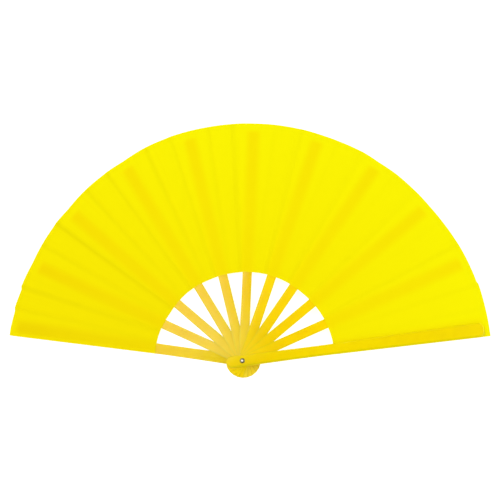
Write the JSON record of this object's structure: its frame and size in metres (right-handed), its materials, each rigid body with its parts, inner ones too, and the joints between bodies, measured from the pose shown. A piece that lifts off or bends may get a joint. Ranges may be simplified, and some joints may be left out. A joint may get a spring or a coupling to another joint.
{
  "type": "folding hand fan",
  "caption": "Folding hand fan, open: yellow plastic ribs between two guards turn on one rivet and carry a pleated cloth leaf that folds flat as the fan closes.",
  "frame": {"origin": "on the rivet's axis, in the plane of the back guard's back face, which the rivet's flat end lies in", "axes": "+Z along the rivet from the back guard to the front guard, +Y the way the open leaf points, +X from the back guard's side to the front guard's side"},
  "size_m": [0.4316, 0.2321, 0.0173],
  "materials": {
    "rib_plastic": "smooth translucent yellow plastic",
    "guard_plastic": "smooth yellow plastic",
    "leaf_cloth": "thin plain-woven polyester, slightly see-through",
    "rivet_steel": "nickel-plated, polished"
  },
  "bodies": {
    "back_frame": {"back_guard": "guard_plastic", "rivet": "rivet_steel", "rivet_washer": "rivet_steel", "leaf_back_end": "leaf_cloth"},
    "rib_body_01": {"rib_01": "rib_plastic", "leaf_panel_01": "leaf_cloth"},
    "rib_body_02": {"rib_02": "rib_plastic", "leaf_panel_02": "leaf_cloth"},
    "rib_body_03": {"rib_03": "rib_plastic", "leaf_panel_03": "leaf_cloth"},
    "rib_body_04": {"rib_04": "rib_plastic", "leaf_panel_04": "leaf_cloth"},
    "rib_body_05": {"rib_05": "rib_plastic", "leaf_panel_05": "leaf_cloth"},
    "rib_body_06": {"rib_06": "rib_plastic", "leaf_panel_06": "leaf_cloth"},
    "rib_body_07": {"rib_07": "rib_plastic", "leaf_panel_07": "leaf_cloth"},
    "rib_body_08": {"rib_08": "rib_plastic", "leaf_panel_08": "leaf_cloth"},
    "rib_body_09": {"rib_09": "rib_plastic", "leaf_panel_09": "leaf_cloth"},
    "front_frame": {"front_guard": "guard_plastic", "leaf_front_end": "leaf_cloth"},
    "pleat_body_01": {"leaf_pleat_01": "leaf_cloth"},
    "pleat_body_02": {"leaf_pleat_02": "leaf_cloth"},
    "pleat_body_03": {"leaf_pleat_03": "leaf_cloth"},
    "pleat_body_04": {"leaf_pleat_04": "leaf_cloth"},
    "pleat_body_05": {"leaf_pleat_05": "leaf_cloth"},
    "pleat_body_06": {"leaf_pleat_06": "leaf_cloth"},
    "pleat_body_07": {"leaf_pleat_07": "leaf_cloth"},
    "pleat_body_08": {"leaf_pleat_08": "leaf_cloth"},
    "pleat_body_09": {"leaf_pleat_09": "leaf_cloth"},
    "pleat_body_10": {"leaf_pleat_10": "leaf_cloth"}
  },
  "joints": [
    {"name": "swing_01", "type": "hinge", "parent": "back_frame", "child": "rib_body_01", "pos_m": [0, 0, 0], "axis": [0, 0, 1], "range_deg": [0, 16.4]},
    {"name": "swing_02", "type": "hinge", "parent": "rib_body_01", "child": "rib_body_02", "pos_m": [0, 0, 0], "axis": [0, 0, 1], "range_deg": [0, 16]},
    {"name": "swing_03", "type": "hinge", "parent": "rib_body_02", "child": "rib_body_03", "pos_m": [0, 0, 0], "axis": [0, 0, 1], "range_deg": [0, 18.1]},
    {"name": "swing_04", "type": "hinge", "parent": "rib_body_03", "child": "rib_body_04", "pos_m": [0, 0, 0], "axis": [0, 0, 1], "range_deg": [0, 17.7]},
    {"name": "swing_05", "type": "hinge", "parent": "rib_body_04", "child": "rib_body_05", "pos_m": [0, 0, 0], "axis": [0, 0, 1], "range_deg": [0, 16.4]},
    {"name": "swing_06", "type": "hinge", "parent": "rib_body_05", "child": "rib_body_06", "pos_m": [0, 0, 0], "axis": [0, 0, 1], "range_deg": [0, 16.2]},
    {"name": "swing_07", "type": "hinge", "parent": "rib_body_06", "child": "rib_body_07", "pos_m": [0, 0, 0], "axis": [0, 0, 1], "range_deg": [0, 15.9]},
    {"name": "swing_08", "type": "hinge", "parent": "rib_body_07", "child": "rib_body_08", "pos_m": [0, 0, 0], "axis": [0, 0, 1], "range_deg": [0, 15.8]},
    {"name": "swing_09", "type": "hinge", "parent": "rib_body_08", "child": "rib_body_09", "pos_m": [0, 0, 0], "axis": [0, 0, 1], "range_deg": [0, 15.7]},
    {"name": "swing_10", "type": "hinge", "parent": "rib_body_09", "child": "front_frame", "pos_m": [0, 0, 0], "axis": [0, 0, 1], "range_deg": [0, 16.6]},
    {"name": "pleat_01", "type": "hinge", "parent": "back_frame", "child": "pleat_body_01", "pos_m": [0, 0, 0], "axis": [0, 0, 1], "range_deg": [0, 8.2]},
    {"name": "pleat_02", "type": "hinge", "parent": "rib_body_01", "child": "pleat_body_02", "pos_m": [0, 0, 0], "axis": [0, 0, 1], "range_deg": [0, 8]},
    {"name": "pleat_03", "type": "hinge", "parent": "rib_body_02", "child": "pleat_body_03", "pos_m": [0, 0, 0], "axis": [0, 0, 1], "range_deg": [0, 9.05]},
    {"name": "pleat_04", "type": "hinge", "parent": "rib_body_03", "child": "pleat_body_04", "pos_m": [0, 0, 0], "axis": [0, 0, 1], "range_deg": [0, 8.85]},
    {"name": "pleat_05", "type": "hinge", "parent": "rib_body_04", "child": "pleat_body_05", "pos_m": [0, 0, 0], "axis": [0, 0, 1], "range_deg": [0, 8.2]},
    {"name": "pleat_06", "type": "hinge", "parent": "rib_body_05", "child": "pleat_body_06", "pos_m": [0, 0, 0], "axis": [0, 0, 1], "range_deg": [0, 8.1]},
    {"name": "pleat_07", "type": "hinge", "parent": "rib_body_06", "child": "pleat_body_07", "pos_m": [0, 0, 0], "axis": [0, 0, 1], "range_deg": [0, 7.95]},
    {"name": "pleat_08", "type": "hinge", "parent": "rib_body_07", "child": "pleat_body_08", "pos_m": [0, 0, 0], "axis": [0, 0, 1], "range_deg": [0, 7.9]},
    {"name": "pleat_09", "type": "hinge", "parent": "rib_body_08", "child": "pleat_body_09", "pos_m": [0, 0, 0], "axis": [0, 0, 1], "range_deg": [0, 7.85]},
    {"name": "pleat_10", "type": "hinge", "parent": "rib_body_09", "child": "pleat_body_10", "pos_m": [0, 0, 0], "axis": [0, 0, 1], "range_deg": [0, 8.3]}
  ],
  "couplings": [
    {"joint": "swing_02", "follows": "swing_01", "ratio": 0.97561},
    {"joint": "swing_03", "follows": "swing_01", "ratio": 1.1037},
    {"joint": "swing_04", "follows": "swing_01", "ratio": 1.0793},
    {"joint": "swing_05", "follows": "swing_01", "ratio": 1},
    {"joint": "swing_06", "follows": "swing_01", "ratio": 0.9878},
    {"joint": "swing_07", "follows": "swing_01", "ratio": 0.96951},
    {"joint": "swing_08", "follows": "swing_01", "ratio": 0.96341},
    {"joint": "swing_09", "follows": "swing_01", "ratio": 0.95732},
    {"joint": "swing_10", "follows": "swing_01", "ratio": 1.0122},
    {"joint": "pleat_01", "follows": "swing_01", "ratio": 0.5},
    {"joint": "pleat_02", "follows": "swing_01", "ratio": 0.4878},
    {"joint": "pleat_03", "follows": "swing_01", "ratio": 0.55183},
    {"joint": "pleat_04", "follows": "swing_01", "ratio": 0.53963},
    {"joint": "pleat_05", "follows": "swing_01", "ratio": 0.5},
    {"joint": "pleat_06", "follows": "swing_01", "ratio": 0.4939},
    {"joint": "pleat_07", "follows": "swing_01", "ratio": 0.48476},
    {"joint": "pleat_08", "follows": "swing_01", "ratio": 0.48171},
    {"joint": "pleat_09", "follows": "swing_01", "ratio": 0.47866},
    {"joint": "pleat_10", "follows": "swing_01", "ratio": 0.5061}
  ]
}
